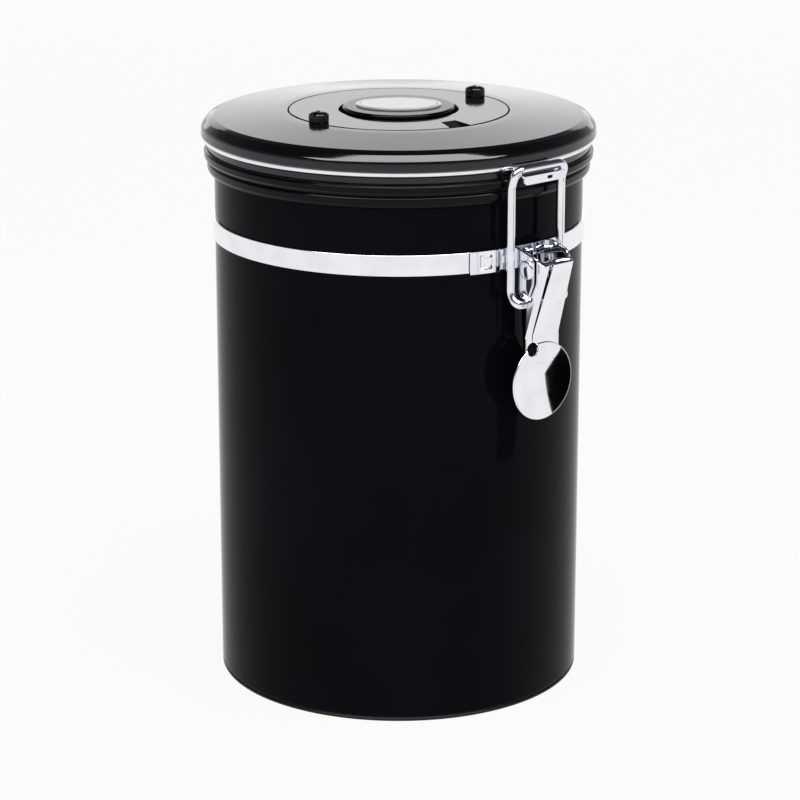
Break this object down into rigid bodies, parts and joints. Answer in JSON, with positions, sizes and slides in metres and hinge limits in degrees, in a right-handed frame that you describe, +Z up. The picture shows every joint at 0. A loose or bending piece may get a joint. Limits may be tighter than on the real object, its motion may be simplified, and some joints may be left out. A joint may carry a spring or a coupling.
{
  "type": "storage canister",
  "caption": "Round steel storage canister with a rear-hinged clamp lid, an over-centre wire latch on a strap and a one-way gas valve in the lid.",
  "frame": {"origin": "on the can's axis, in the plane that it stands on", "axes": "+Z up the can's axis, -Y towards the latch, +Y towards the lid's hinge"},
  "size_m": [0.1326, 0.1491, 0.1986],
  "materials": {
    "can_enamel": "glossy black enamel on sheet steel",
    "base_enamel": "satin black enamel on sheet steel",
    "collar_plastic": "gloss black moulded",
    "lid_plastic": "gloss black moulded",
    "pan_plastic": "fine satin moulded",
    "stud_plastic": "satin moulded",
    "badge_plastic": "gloss white, blank",
    "seal_rubber": "translucent grey silicone",
    "filter_felt": "pressed felt",
    "screw_steel": "plated",
    "bright_chrome": "polished chrome plate"
  },
  "bodies": {
    "can": {"canister_body": "can_enamel", "base_pan": "base_enamel", "rim_collar": "collar_plastic", "clamp_band": "bright_chrome", "band_clip": "bright_chrome", "band_tongue": "bright_chrome", "latch_bracket": "bright_chrome", "latch_rivet": "bright_chrome", "hinge_bracket": "bright_chrome"},
    "lid": {"lid_shell": "lid_plastic", "lid_inner_pan": "pan_plastic", "lid_gasket": "seal_rubber", "lid_wire_ring": "bright_chrome", "catch_plate": "bright_chrome", "valve_cover": "lid_plastic", "valve_cap": "lid_plastic", "cap_badge": "badge_plastic", "valve_seat": "pan_plastic", "seat_o_ring": "seal_rubber", "filter_disc": "filter_felt", "filter_retainer": "pan_plastic", "lid_screws": "screw_steel"},
    "lever": {"latch_lever": "bright_chrome"},
    "bail": {"bail_wire": "bright_chrome"},
    "stud_left": {"turn_stud_left": "stud_plastic"},
    "stud_right": {"turn_stud_right": "stud_plastic"},
    "membrane": {"valve_membrane": "seal_rubber"}
  },
  "joints": [
    {"name": "lid_hinge", "type": "hinge", "parent": "can", "child": "lid", "pos_m": [0, 0.0682, 0.158], "axis": [-1, 0, 0], "range_deg": [0, 105]},
    {"name": "lever_pivot", "type": "hinge", "parent": "can", "child": "lever", "pos_m": [0, -0.072, 0.1545], "axis": [-1, 0, 0], "range_deg": [0, 120]},
    {"name": "bail_pivot", "type": "hinge", "parent": "lever", "child": "bail", "pos_m": [0, -0.07, 0.1426], "axis": [-1, 0, 0], "range_deg": [-132, 0]},
    {"name": "stud_left_turn", "type": "hinge", "parent": "lid", "child": "stud_left", "pos_m": [-0.0346, 0, 0.195], "axis": [0, 0, 1], "range_deg": [0, 90]},
    {"name": "stud_right_turn", "type": "hinge", "parent": "lid", "child": "stud_right", "pos_m": [0.0346, 0, 0.195], "axis": [0, 0, 1], "range_deg": [0, 90]},
    {"name": "valve_lift", "type": "slide", "parent": "lid", "child": "membrane", "axis": [0, 0, 1], "range_m": [0, 0.0006], "stiffness_N_per_m": 20}
  ],
  "couplings": [
    {"joint": "bail_pivot", "follows": "lever_pivot", "ratio": -1.1}
  ]
}
